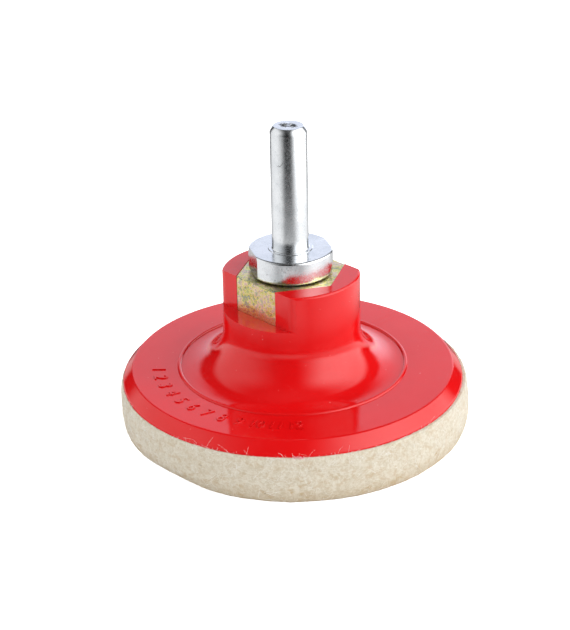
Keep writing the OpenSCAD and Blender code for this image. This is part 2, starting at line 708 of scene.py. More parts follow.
@dataclass(frozen=True)
class YellowZinc(Finish):
    """Yellow-passivated zinc: a grainy film of yellow, green, pink and violet, with painted shade along the
    top edge and a painted orange reflection of the red ledge low down.
    """

    name: str = "yellow_zinc"
    gloss: float = 0.22
    film: tuple[tuple[float, Colour], ...] = (
        (0.26, (0.40, 0.36, 0.38)),
        (0.36, (0.50, 0.58, 0.30)),
        (0.44, (0.84, 0.72, 0.10)),
        (0.53, (0.90, 0.84, 0.44)),
        (0.61, (0.92, 0.70, 0.56)),
        (0.70, (0.72, 0.50, 0.50)),
        (0.78, (0.50, 0.66, 0.34)),
    )
    # Dark colour of the grime in the pits and of the painted shade just under the top edge.
    grime_and_shade: Colour = (0.16, 0.13, 0.10)
    # Colour of the painted reflection of the red ledge low on the insert's sides, and how far up from the
    # ledge it reaches.
    painted_ledge_reflection: Colour = (0.86, 0.50, 0.22)
    ledge_at: float = 27.8
    top_at: float = 35.7
    ledge_reflection_reach: float = 2.6

    def wire(self, graph: Graph, shader: bpy.types.Node) -> None:
        """Wires the finish to a Principled shader.

        Args:
            graph: The material's graph.
            shader: The shader.
        """
        where = graph.place()
        patch = graph.noise(where, 0.35, 2, 0.5, 0.8)
        fleck = graph.noise(where, 3.2, 3, 0.75)
        tint = graph.noise(graph.place((1, 1, 1), (5, 1, 3)), 1.4, 3, 0.6)
        coarse = graph.math("MULTIPLY_ADD", patch, 0.40, graph.times(tint, 0.30))
        mixed = graph.math("MULTIPLY_ADD", fleck, 0.30, coarse)
        film = graph.ramp(graph.span(mixed, 0.36, 0.64, 0.22, 0.82), self.film)
        pits = graph.span(graph.noise(graph.place((1, 1, 1), (2, 2, 7)), 4.6, 2, 0.6), 0.60, 0.72)
        height = graph.node("ShaderNodeSeparateXYZ")
        graph.feed(height.inputs[0], where)
        # Painted reflection: an orange tint fading up from the ledge stands in for the red ledge mirrored in
        # the metal.
        low = graph.span(height.outputs[2], self.ledge_at, self.ledge_at + self.ledge_reflection_reach, 0.75, 0)
        film_and_reflection = graph.blend(low, film, self.painted_ledge_reflection)
        # Painted shade: a dark band broken into dashes just under the top edge, where the flange above shades
        # the insert.
        rim = graph.times(
            graph.span(height.outputs[2], self.top_at - 0.26, self.top_at - 0.16),
            graph.span(height.outputs[2], self.top_at - 0.10, self.top_at - 0.02, 1, 0),
        )
        painted_edge_shade = graph.times(rim, graph.span(tint, 0.42, 0.55))
        pits_and_painted_shade = graph.math("MAXIMUM", graph.times(pits, 0.4), painted_edge_shade)
        graph.feed(shader.inputs["Base Color"], graph.blend(pits_and_painted_shade, film_and_reflection, self.grime_and_shade))
        shader.inputs["Metallic"].default_value = 1
        graph.feed(shader.inputs["Roughness"], graph.span(fleck, 0.3, 0.7, self.gloss, self.gloss + 0.22))
        coat = graph.bump(fleck, 0.05)
        graph.feed(shader.inputs["Normal"], graph.bump(patch, 0.15, coat))


@dataclass(frozen=True)
class WoolFelt(Finish):
    """Pressed cream wool: matted, mottled and flecked with brown, with painted shade low on the side."""

    name: str = "wool_felt"
    cream: Colour = (0.64, 0.56, 0.42)
    pale: Colour = (0.78, 0.725, 0.61)
    straw: Colour = (0.55, 0.40, 0.22)
    # Colour of the painted shade low on the side, towards the working face.
    sole: Colour = (0.46, 0.31, 0.14)
    speck: Colour = (0.22, 0.15, 0.08)

    def wire(self, graph: Graph, shader: bpy.types.Node) -> None:
        """Wires the finish to a Principled shader.

        Args:
            graph: The material's graph.
            shader: The shader.
        """
        where = graph.place()
        drift = graph.noise(where, 0.13, 2, 0.5, 0.4)
        woolly = graph.noise(where, 1.5, 5, 0.75, 0.8)
        tone = graph.blend(graph.span(woolly, 0.36, 0.62), self.cream, self.pale)
        patch = graph.span(graph.noise(graph.place((1, 1, 1.4), (9, 2, 4)), 0.5, 4, 0.65, 0.5), 0.47, 0.64)
        height = graph.node("ShaderNodeSeparateXYZ")
        graph.feed(height.inputs[0], where)
        low = graph.span(height.outputs[2], 0, 9, 1, 0.45)
        straw = graph.times(graph.times(patch, low), graph.span(drift, 0.35, 0.65, 0.45, 1))
        # Painted shade: the side darkens towards a brown near the working face, close to the floor.
        foot = graph.span(height.outputs[2], 0.5, 5, 0.40, 0)
        body = graph.blend(foot, graph.blend(straw, tone, self.straw), self.sole)
        seed = graph.span(graph.noise(graph.place((1, 1, 1.6), (3, 8, 1)), 1.3, 2, 0.5), 0.73, 0.78)
        flecked = graph.blend(graph.times(seed, 0.6), body, self.speck)
        graph.feed(shader.inputs["Base Color"], flecked)
        shader.inputs["Roughness"].default_value = 0.95
        shader.inputs["Sheen Weight"].default_value = 0.2
        shader.inputs["Sheen Roughness"].default_value = 0.5
        mat = graph.bump(woolly, 0.20)
        hair = graph.bump(graph.noise(graph.place((1, 1, 2.2)), 4, 4, 0.7, 2), 0.08, mat)
        graph.feed(shader.inputs["Normal"], hair)


@dataclass(frozen=True)
class WoolFibre(Finish):
    """Single wool fibres, paler than the felt that they lie on."""

    name: str = "wool_fibre"
    pale: Colour = (0.93, 0.92, 0.89)
    tan: Colour = (0.80, 0.74, 0.62)

    def wire(self, graph: Graph, shader: bpy.types.Node) -> None:
        """Wires the finish to a Principled shader.

        Args:
            graph: The material's graph.
            shader: The shader.
        """
        tone = graph.span(graph.noise(graph.place(), 0.5, 1), 0.45, 0.65)
        graph.feed(shader.inputs["Base Color"], graph.blend(tone, self.pale, self.tan))
        shader.inputs["Roughness"].default_value = 0.6
        shader.inputs["Sheen Weight"].default_value = 0.3


@dataclass(frozen=True)
class PlainFinish(Finish):
    """A quiet finish with a little variation of tone and a fine bump."""

    name: str
    tone: Colour
    shade: Colour
    roughness: float
    grain: float = 2.0
    depth: float = 0.02
    sheen: float = 0.0

    def wire(self, graph: Graph, shader: bpy.types.Node) -> None:
        """Wires the finish to a Principled shader.

        Args:
            graph: The material's graph.
            shader: The shader.
        """
        where = graph.place()
        tone = graph.blend(graph.noise(where, self.grain, 3), self.tone, self.shade)
        graph.feed(shader.inputs["Base Color"], tone)
        shader.inputs["Roughness"].default_value = self.roughness
        shader.inputs["Sheen Weight"].default_value = self.sheen
        graph.feed(shader.inputs["Normal"], graph.bump(graph.noise(where, self.grain * 2, 2), self.depth))


@dataclass(frozen=True)
class Fibre:
    """A loose fibre's shape: its length, thickness and how much it curls."""

    length: float
    radius: float
    curl: float
    seed: int

    def model(self, name: str) -> bpy.types.Object:
        """A thin tube along a curl, with its middle near the origin.

        Args:
            name: The new object's name.

        Returns:
            The new object.
        """
        draw = random.Random(self.seed)
        obj = add(name, bpy.ops.curve.primitive_nurbs_path_add)
        curve = obj.data
        turn, rise, heading = draw.uniform(0, 6.3), draw.uniform(0, 6.3), 0.0
        place = Vector((-self.length / 2, 0, 0))
        points = curve.splines[0].points
        for index, point in enumerate(points):
            point.co = (*place, 1)
            heading = self.curl * math.sin(turn + index * 1.3)
            lift = self.curl * 0.5 * math.sin(rise + index * 1.7)
            stride = self.length / (len(points) - 1)
            place = place + Vector((math.cos(heading), math.sin(heading), lift)) * stride
        curve.splines[0].use_endpoint_u = True
        curve.bevel_depth = self.radius
        curve.bevel_resolution = 0
        curve.resolution_u = 2
        curve.use_fill_caps = True
        bpy.ops.object.convert(target="MESH")
        return obj


def against_wall(angle: float) -> Matrix:
    """Lays a flat shape against an upright round wall.

    Args:
        angle: Where on the wall, in radians about the axis.

    Returns:
        The turn.
    """
    return Matrix.Rotation(angle + math.pi / 2, 4, "Z") @ Matrix.Rotation(math.pi / 2, 4, "X")


def scatter(
    name: str, shapes: Sequence[bpy.types.Object], places: Sequence[Matrix], draw: random.Random
) -> bpy.types.Object:
    """Copies small shapes to many places and joins the copies; the shapes are dropped.

    Args:
        name: Name of the joined object.
        shapes: The shapes that are copied.
        places: One matrix for each copy.
        draw: Chooses a shape for each place.

    Returns:
        The joined object.
    """
    copies = []
    for place in places:
        shape = draw.choice(shapes)
        copy = shape.copy()
        copy.data = shape.data.copy()
        copy.data.transform(place)
        bpy.context.scene.collection.objects.link(copy)
        copies.append(copy)
    for shape in shapes:
        bpy.data.objects.remove(shape)
    return join(name, copies)


# ---------------------------------------------------------------------------------------------
# Backing pad
# ---------------------------------------------------------------------------------------------


@dataclass
class BackingPad:
    """The red moulding: plate, raised ring, flare, hub with two spanner windows, and its scale."""

    plate_h: float = 3.05
    rim_swell: float = 0.3
    bevel_w: float = 2.25
    rim_h: float = 0.55
    rim_round: float = 0.15
    rim_shoulder: tuple[Pair, ...] = ((0.0, -0.2), (0.06, 0.02), (0.26, 0.32))
    crown: float = 0.3
    crown_drop: float = 0.09
    lip_w: float = 1.3
    recess_depth: float = 0.85
    ring_w: float = 0.9
    ring_h: float = 0.4
    ring_gap: float = 0.3
    flare_r: float = 9.3
    hub_r: float = 15.1
    hub_edge: float = 0.5
    blank_foot_r: float = 6.0
    blank_top_r: float = 5.0
    ledge_h: float = 14.1
    insert_gap: float = 0.05
    insert_blunt: float = 0.22
    relief_r: float = 7.4
    relief_h: float = 2.2
    edge: float = 0.14
    corner_r: float = 2.6
    corner_reach: float = 3.0
    corner_post_h: float = 40.0
    spare: float = 5.0
    scale_r: float = 29.9
    scale_ends: Pair = (-127.5, -43.0)
    numeral_count: int = 12
    numeral_h: float = 3.2
    numeral_narrow: float = 0.8
    numeral_slant: float = 0.15
    numeral_rise: float = 0.17
    numeral_edge: float = 0.05
    numeral_thin: float = -0.055
    numeral_lift: float = 0.02
    finish: Finish = field(default_factory=MouldedRed)

    def __post_init__(self) -> None:
        """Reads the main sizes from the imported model."""
        low, high = mm_box("backing_pad")
        insert_low, insert_high = mm_box("hex_insert")
        self.plate_r = high.x + self.rim_swell
        self.z_rim = low.z
        self.z_hub = high.z
        self.z_plate = self.z_rim + self.plate_h
        self.z_ledge = self.z_plate + self.ledge_h
        self.half_flats = insert_high.y
        self.z_insert = insert_low.z
        self.ring_r = self.hub_r + self.flare_r + self.ring_gap + self.ring_w / 2

    def ring_points(self) -> Outline:
        """The raised ring's cap.

        Returns:
            Its points, from the outer foot to the inner foot.
        """
        curve = (self.ring_w**2 / 4 + self.ring_h**2) / (2 * self.ring_h)
        start = math.degrees(math.asin((curve - self.ring_h) / curve))
        return arc((self.ring_r, self.z_plate + self.ring_h - curve), curve, start, 180 - start, 8)

    def outline(self) -> Outline:
        """The moulding's outline.

        Returns:
            Its points, from the recess under the plate to the top of the hub.
        """
        recess_r = self.plate_r - self.lip_w
        z_recess = self.z_rim + self.recess_depth
        z_bevel = self.z_rim + self.rim_h
        crown_r = self.plate_r - self.bevel_w
        slope = Vector((self.bevel_w, z_bevel - self.z_plate)).normalized() * self.crown
        return [
            (self.blank_foot_r, z_recess),
            (recess_r, z_recess),
            (recess_r, self.z_rim),
            (self.plate_r - self.rim_round, self.z_rim),
            (self.plate_r, self.z_rim + self.rim_round),
            *[(self.plate_r - inward, z_bevel + up) for inward, up in self.rim_shoulder],
            (crown_r + slope.x, self.z_plate + slope.y),
            (crown_r + slope.x * 0.33, self.z_plate - self.crown_drop),
            (crown_r - self.crown, self.z_plate),
            *self.ring_points(),
            *arc((self.hub_r + self.flare_r, self.z_plate + self.flare_r), self.flare_r, 270, 180, 20),
            (self.hub_r, self.z_hub - self.hub_edge),
            *arc((self.hub_r - self.hub_edge, self.z_hub - self.hub_edge), self.hub_edge, 15, 90, 5),
            (self.blank_top_r, self.z_hub),
        ]

    def corner_tool(self, x_sign: int, y_sign: int) -> bpy.types.Object:
        """What is taken off one upright corner of a spanner window to round it.

        Args:
            x_sign: Side of the corner along X.
            y_sign: Side of the corner along Y.

        Returns:
            The tool: a block with the corner's round taken out of it.
        """
        inner_r = self.hub_r - self.corner_r
        y_mid = self.half_flats - self.corner_r
        x_mid = math.sqrt(inner_r**2 - y_mid**2)
        y_low = y_mid * self.hub_r / inner_r
        xs = sorted((x_sign * x_mid, x_sign * (x_mid + self.corner_r + self.corner_reach)))
        ys = sorted((y_sign * y_low, y_sign * (self.half_flats + self.corner_reach)))
        tool = block("corner", (xs[0], ys[0], self.z_ledge), (xs[1], ys[1], self.z_hub + 1))
        post = add(
            "corner_post",
            bpy.ops.mesh.primitive_cylinder_add,
            vertices=96,
            radius=self.corner_r,
            depth=self.corner_post_h,
            location=(x_sign * x_mid, y_sign * y_mid, self.z_ledge),
        )
        cut(tool, post)
        return tool

    def hexagon_tool(self) -> bpy.types.Object:
        """The pocket that the insert fills, up through the hub's top.

        Returns:
            The pocket as a solid.
        """
        corner = (self.half_flats + self.insert_gap) * 2 / math.sqrt(3)
        outline = [(corner, self.z_insert), (corner, self.z_hub + self.spare)]
        return hexagon("pocket", outline, self.insert_blunt)

    def model(self) -> bpy.types.Object:
        """Turns the moulding and cuts its windows, pocket and relief.

        Returns:
            The moulding.
        """
        pad = turned("backing_pad_moulding", self.outline())
        wide = self.hub_r * 1.3
        low, high = (-wide, self.half_flats, self.z_ledge), (wide, wide, self.z_hub + self.spare)
        for side in (0, 180):
            cut(pad, block("window", low, high, side))
        for x_sign, y_sign in ((1, 1), (1, -1), (-1, 1), (-1, -1)):
            cut(pad, self.corner_tool(x_sign, y_sign))
        cut(pad, self.hexagon_tool())
        relief = [(self.relief_r, self.z_insert - self.relief_h), (self.relief_r, self.z_insert + 1)]
        cut(pad, turned("relief", relief, 64))
        soften(pad, self.edge)
        return pad

    def numerals(self) -> bpy.types.Object:
        """A plain raised scale of numbers round the plate, where such a pad is marked.

        Returns:
            The numbers as one object.
        """
        pieces = []
        start, end = self.scale_ends
        for index in range(self.numeral_count):
            angle = math.radians(start + (end - start) * index / (self.numeral_count - 1))
            text = add("numeral", bpy.ops.object.text_add)
            font = text.data
            font.body = str(index + 1)
            font.size = self.numeral_h * CAP_TO_SIZE
            font.align_x = font.align_y = "CENTER"
            font.extrude = self.numeral_rise
            font.bevel_depth = self.numeral_edge
            font.bevel_resolution = 1
            font.offset = self.numeral_thin
            font.shear = self.numeral_slant
            bpy.ops.object.convert(target="MESH")
            x, y = self.scale_r * math.cos(angle), self.scale_r * math.sin(angle)
            text.location = (x, y, self.z_plate + self.numeral_lift)
            text.rotation_euler.z = angle + math.pi / 2
            text.scale.x = self.numeral_narrow
            fix_place(text)
            pieces.append(text)
        return join("plate_numerals", pieces)

    def build(self) -> None:
        """Models and dresses the moulding and its scale."""
        material = self.finish.material()
        hand_over(self.model(), Body.PAD, "red_plastic", material, "backing_pad")
        hand_over(self.numerals(), Body.PAD, "red_plastic", material)


# ---------------------------------------------------------------------------------------------
# Insert and spindle
# ---------------------------------------------------------------------------------------------


@dataclass
class Thread:
    """The M14 x 2 thread as concentric grooves, shared by the stud and the insert."""

    major_r: float = 7.0
    pitch: float = 2.0
    depth_share: float = 0.6134
    gap: float = 0.08
    top: float = 34.8

    @property
    def depth(self) -> float:
        """Radial depth of a groove."""
        return self.depth_share * self.pitch

    def grooves(self, crest_r: float, turns: int) -> Outline:
        """The grooves' outline from the lowest crest up.

        Args:
            crest_r: Radius over the crests.
            turns: Number of grooves.

        Returns:
            The points.
        """
        crest, root = self.pitch / 16, self.pitch / 8
        points: Outline = []
        for turn in range(turns, 0, -1):
            foot = self.top - turn * self.pitch
            middle = foot + self.pitch / 2
            points += [(crest_r, foot + crest), (crest_r - self.depth, middle - root)]
            points += [(crest_r - self.depth, middle + root), (crest_r, foot + self.pitch - crest)]
        return points


@dataclass
class HexInsert:
    """The yellow-plated hexagon nut that is moulded into the hub."""

    blunt: float = 0.22
    edge: float = 0.16
    grip_w: float = 2.0
    grip_depth: float = 0.9
    grip_low: float = 21.85
    turns: int = 9
    spare: float = 2.0
    thread: Thread = field(default_factory=Thread)
    finish: Finish = field(default_factory=YellowZinc)

    def build(self) -> None:
        """Models and dresses the insert."""
        low, high = mm_box("hex_insert")
        corner = high.y * 2 / math.sqrt(3)
        waist = corner - self.grip_depth * 2 / math.sqrt(3)
        outline = [
            (corner, low.z),
            (corner, self.grip_low),
            (waist, self.grip_low),
            (waist, self.grip_low + self.grip_w),
            (corner, self.grip_low + self.grip_w),
            (corner, high.z),
        ]
        nut = hexagon("hex_insert_nut", outline, self.blunt)
        crest_r = self.thread.major_r + self.thread.gap / 2
        grooves = self.thread.grooves(crest_r, self.turns)
        bore = [(crest_r, low.z - self.spare), *grooves, (crest_r, high.z + self.spare)]
        cut(nut, turned("bore", bore, 96))
        soften(nut, self.edge, angle=50)
        hand_over(nut, Body.PAD, "yellow_zinc_steel", self.finish.material(), "hex_insert")


@dataclass
class Spindle:
    """The turned steel spindle: shank, flange with two flats, neck and stud in one piece."""

    shank_r: float = 4.0
    tip_h: float = 1.15
    tip_w: float = 0.75
    flange_r: float = 9.2
    flange_af: float = 17.0
    flange_turn: float = 62.5
    flange_edge: float = 0.5
    flange_h: float = 5.15
    z_flange: float = 36.0
    foot_w: float = 0.9
    foot_h: float = 0.12
    fillet_r: float = 0.25
    stud_tip_h: float = 1.2
    stud_tip_w: float = 0.6
    neck_h: float = 0.4
    dish: float = 0.03
    mark_r: float = 2.0
    mark_depth: float = 0.05
    edge: float = 0.12
    sharp: float = 32.0
    lint_at: Pair = (-66, 61.4)
    loose_lint_at: Pair = (5.6, -3.6)
    turns: int = 5
    thread: Thread = field(default_factory=Thread)
    finish: Finish = field(default_factory=BrightZinc)
    lint_finish: Finish = PlainFinish("dark_lint", (0.05, 0.05, 0.06), (0.12, 0.11, 0.10), 0.6)

    def outline(self, z_tip: float) -> Outline:
        """The spindle's outline from the stud's end to the shank's tip.

        Args:
            z_tip: Height of the shank's end.

        Returns:
            The points.
        """
        stud_r = self.thread.major_r - self.thread.gap / 2
        core = stud_r - self.thread.depth
        foot = self.thread.top - self.turns * self.thread.pitch
        z_shank = self.z_flange + self.flange_h
        flange, edge, fillet = self.flange_r, self.flange_edge, self.fillet_r
        z_foot = z_shank + self.foot_h
        z_cone, tip_r = z_tip - self.tip_h, self.shank_r - self.tip_w
        return [
            (core - self.stud_tip_w, foot - self.stud_tip_h),
            (core, foot - self.stud_tip_h / 2),
            *self.thread.grooves(stud_r, self.turns),
            (core, self.thread.top + self.neck_h),
            (core, self.z_flange),
            *arc((flange - edge, self.z_flange + edge), edge, 270, 360, 5),
            *arc((flange - edge, z_shank - edge), edge, 0, 90, 5),
            (self.shank_r + self.foot_w, z_shank),
            (self.shank_r + self.foot_w - self.foot_h, z_foot),
            (self.shank_r + fillet, z_foot),
            *arc((self.shank_r + fillet, z_foot + fillet), fillet, 250, 180, 4),
            (self.shank_r, z_cone - 0.1),
            (self.shank_r - 0.05, z_cone + 0.05),
            (tip_r + 0.06, z_tip - 0.07),
            (tip_r - 0.05, z_tip),
            (self.mark_r + 0.3, z_tip),
            *[(radius, z_tip - self.dish) for radius in (1.7, 1.1, 0.5)],
        ]

    def shear_mark(self, obj: bpy.types.Object, z_tip: float) -> None:
        """Roughens the middle of the shank's end, where the bar was cropped.

        Args:
            obj: The spindle.
            z_tip: Height of the shank's end.
        """
        def inside(vert: bmesh.types.BMVert) -> bool:
            """Whether a vertex lies in the oval mark on the end."""
            return vert.co.z > z_tip - 0.05 and math.hypot(vert.co.x, vert.co.y * 1.5) < self.mark_r

        with editing(obj):
            select(obj, Part.VERT, inside)
            bpy.ops.transform.vertex_random(offset=self.mark_depth, uniform=0.0, normal=1.0, seed=4)

    def lint(self) -> bpy.types.Object:
        """Two dark hairs: one clings to the shank, one lies on the flange.

        Returns:
            The hairs as one object.
        """
        cling = Fibre(2.3, 0.035, 1.1, 77).model("lint")
        turn = math.radians(self.lint_at[0])
        beside = Vector((math.cos(turn), math.sin(turn), 0)) * (self.shank_r + 0.02)
        place = beside + Vector((0, 0, self.lint_at[1]))
        cling.data.transform(Matrix.Translation(place) @ against_wall(turn) @ Matrix.Rotation(0.35, 4, "Z"))
        rest = Fibre(2.0, 0.03, 0.9, 78).model("lint")
        place = Vector((*self.loose_lint_at, self.z_flange + self.flange_h + 0.03))
        flattened = Matrix.Rotation(0.5, 4, "Z") @ Matrix.Diagonal((1, 1, 0.1, 1))
        rest.data.transform(Matrix.Translation(place) @ flattened)
        return join("spindle_lint", [cling, rest])

    def build(self) -> None:
        """Models and dresses the spindle."""
        z_tip = mm_box("spindle")[1].z
        spindle = turned("drill_spindle", self.outline(z_tip))
        reach, spare = self.flange_r * 1.5, 0.2
        low = (self.flange_af / 2, -reach, self.z_flange - spare)
        high = (reach, reach, self.z_flange + self.flange_h + spare)
        for side in (0, 180):
            cut(spindle, block("flat", low, high, self.flange_turn + side))
        soften(spindle, self.edge, angle=self.sharp)
        self.shear_mark(spindle, z_tip)
        zinc, angle = self.finish.material(), math.radians(self.sharp)
        hand_over(spindle, Body.SPINDLE, "bright_zinc_steel", zinc, "spindle", angle=angle)
        hand_over(self.lint(), Body.SPINDLE, "bright_zinc_steel", self.lint_finish.material())


# ---------------------------------------------------------------------------------------------
# Felt disc and hook and loop
# ---------------------------------------------------------------------------------------------


@dataclass(frozen=True)
class Hairs:
    """One kind of loose fibre on the felt's side: its shapes, and where they lie."""

    name: str
    count: int
    shapes: int
    first_seed: int
    length: Pair
    radius: float
    curl: Pair
    height: Pair
    lift: Pair
    tilt: float = 0.9
    in_front: int = 0

    def models(self, draw: random.Random) -> list[bpy.types.Object]:
        """Models the shapes.

        Args:
            draw: Draws their lengths and curls.

        Returns:
            The shapes.
        """
        made = []
        for seed in range(self.first_seed, self.first_seed + self.shapes):
            length, curl = draw.uniform(*self.length), draw.uniform(*self.curl)
            made.append(Fibre(length, self.radius, curl, seed).model("hair"))
        return made


@dataclass
class FeltDisc:
    """The wool felt disc: pressed body, matted fibres on its side, stray ones over the rim."""

    edge: float = 0.9
    belly: float = 38.8
    belly_at: float = 4.0
    foot: float = 38.05
    collar: float = 38.24
    collar_top: float = 10.78
    collar_round: float = 0.16
    seat_r: float = 37.5
    middle_r: float = 1.0
    side_step: float = 0.2
    steps: int = 480
    sole: float = 0.02
    floor: float = 0.01
    centre: Pair = (0.40, 0.42)
    lean: Pair = (-0.022, -0.022)
    wear_at: float = -88.0
    wear_width: float = 17.0
    wear_h: float = 3.5
    wear_from: float = 33.0
    wear_depth: float = 0.9
    lumps: tuple[Pair, ...] = ((6.0, 0.20), (1.1, 0.16))
    sharp: float = 80.0
    front: Pair = (-48, 32)
    matted: Hairs = Hairs(
        "felt_matted_fibres", 1500, 14, 0, (1.6, 4.2), 0.020, (0.5, 1.5), (0.5, 10.2), (-0.08, 0.14)
    )
    strays: Hairs = Hairs(
        "felt_stray_fibres", 90, 10, 40, (3.0, 8.5), 0.0124, (0.3, 1.1), (8.6, 10.9), (-0.1, 0.35), 0.9, 36
    )
    fuzz: Hairs = Hairs(
        "felt_rim_fuzz", 1100, 8, 60, (0.5, 1.5), 0.018, (0.4, 1.3), (10.2, 10.95), (-0.5, 0.12), 1.0
    )
    tuft: Hairs = Hairs(
        "felt_rim_tuft", 26, 5, 80, (0.5, 1.3), 0.03, (0.6, 1.5), (10.8, 0.2), (-0.4, 0.1), 1.0
    )
    tuft_at: Pair = (-42.5, 0.8)
    finish: Finish = WoolFelt()
    hair_finish: Finish = WoolFibre()
    tuft_finish: Finish = WoolFibre("stained_fibre", (0.90, 0.36, 0.42), (0.85, 0.20, 0.26))

    def side_r(self, height: float) -> float:
        """Radius of the side.

        Args:
            height: Height above the working face.

        Returns:
            The radius.
        """
        if height < self.belly_at:
            return self.foot + (self.belly - self.foot) * math.sin(math.pi / 2 * height / self.belly_at)
        up = (height - self.belly_at) / (self.collar_top - self.belly_at)
        return self.belly + (self.collar - self.belly) * up**3

    def outline(self, top: float) -> Outline:
        """The felt's outline, from its working face to its top face.

        Args:
            top: Height of the top face.

        Returns:
            The points.
        """
        count = round((self.collar_top - 2 * self.edge) / self.side_step)
        heights = [self.edge + self.side_step * i for i in range(count + 1)]
        inner, middle, round_r = self.foot - self.edge, self.middle_r, self.collar_round
        return [
            (middle, self.sole),
            *line((middle, self.sole), (inner, self.sole), 60),
            *[(r, z + self.sole) for r, z in arc((inner, self.edge), self.edge, 288, 342, 3)],
            *[(self.side_r(z), z) for z in heights],
            *arc((self.collar - round_r, self.collar_top - round_r), round_r, 15, 90, 3),
            (self.seat_r, self.collar_top),
            (self.seat_r, top),
            *line((self.seat_r, top), (middle, top), 12),
        ]

    def wear(self, felt: bpy.types.Object) -> None:
        """Wears the lower edge down on one side, as when it leans against its box.

        Args:
            felt: The felt body.
        """
        for vert in felt.data.vertices:
            bearing = math.degrees(math.atan2(vert.co.y, vert.co.x))
            beside = (bearing - self.wear_at + 180) % 360 - 180
            around = math.exp(-((beside / self.wear_width) ** 2))
            radius = math.hypot(vert.co.x, vert.co.y)
            low = max(0.0, 1 - vert.co.z / self.wear_h) ** 1.3
            share = around * low * max(0.0, (radius - self.wear_from) / 5)
            vert.co.z += self.wear_depth * share * 0.55
            vert.co.x -= vert.co.x / radius * self.wear_depth * share
            vert.co.y -= vert.co.y / radius * self.wear_depth * share

    def above_floor(self, obj: bpy.types.Object) -> None:
        """Keeps an object off the surface that the wheel stands on."""
        for vert in obj.data.vertices:
            vert.co.z = max(vert.co.z, self.floor)

    def on_side(self, angle: float, height: float, tilt: float, lift: float) -> Matrix:
        """Where a fibre lies on the felt's side.

        Args:
            angle: Angle about the axis, in radians.
            height: Height above the working face.
            tilt: Turn of the fibre on the side, in radians.
            lift: How far it lies off the side.

        Returns:
            The fibre's place.
        """
        radius = self.side_r(height) + lift
        centre = [c + slope * height for c, slope in zip(self.centre, self.lean)]
        place = (centre[0] + radius * math.cos(angle), centre[1] + radius * math.sin(angle), height)
        return Matrix.Translation(place) @ against_wall(angle) @ Matrix.Rotation(tilt, 4, "Z")

    def coat(self, kind: Hairs, draw: random.Random) -> bpy.types.Object:
        """Spreads one kind of fibre round the side, some of them gathered in front.

        Args:
            kind: The kind of fibre.
            draw: Draws the shapes and the places.

        Returns:
            The fibres as one object.
        """
        shapes, places = kind.models(draw), []
        for index in range(kind.count):
            angle = draw.uniform(0, 2 * math.pi)
            if index < kind.in_front:
                angle = math.radians(draw.gauss(*self.front))
            height, tilt = draw.uniform(*kind.height), draw.gauss(0, kind.tilt)
            places.append(self.on_side(angle, height, tilt, draw.uniform(*kind.lift)))
        return scatter(kind.name, shapes, places, draw)

    def rim_tuft(self, draw: random.Random) -> bpy.types.Object:
        """A small red-stained tuft that is caught under the rim.

        Args:
            draw: Draws the shapes and the places.

        Returns:
            The tuft.
        """
        kind, (bearing, spread) = self.tuft, self.tuft_at
        shapes, places = kind.models(draw), []
        for _ in range(kind.count):
            angle = math.radians(bearing + draw.gauss(0, spread))
            height, tilt = draw.gauss(*kind.height), draw.gauss(0, kind.tilt)
            places.append(self.on_side(angle, height, tilt, draw.uniform(*kind.lift)))
        return scatter(kind.name, shapes, places, draw)

    def build(self) -> None:
        """Models and dresses the felt."""
        soft = {"angle": math.radians(self.sharp), "weigh": False}
        top = mm_box("felt_disc")[1].z
        felt = turned("felt_wheel", self.outline(top), self.steps, self.centre, self.lean)
        self.wear(felt)
        for size, height in self.lumps:
            ruffle(felt, size, height)
        self.above_floor(felt)
        hand_over(felt, Body.DISC, "wool_felt", self.finish.material(), "felt_disc", **soft)
        material, draw = self.hair_finish.material(), random.Random(11)
        for piece in [self.coat(kind, draw) for kind in (self.matted, self.strays, self.fuzz)]:
            self.above_floor(piece)
            hand_over(piece, Body.DISC, "wool_felt", material, **soft)
        tuft = self.rim_tuft(random.Random(21))
        hand_over(tuft, Body.DISC, "wool_felt", self.tuft_finish.material(), **soft)


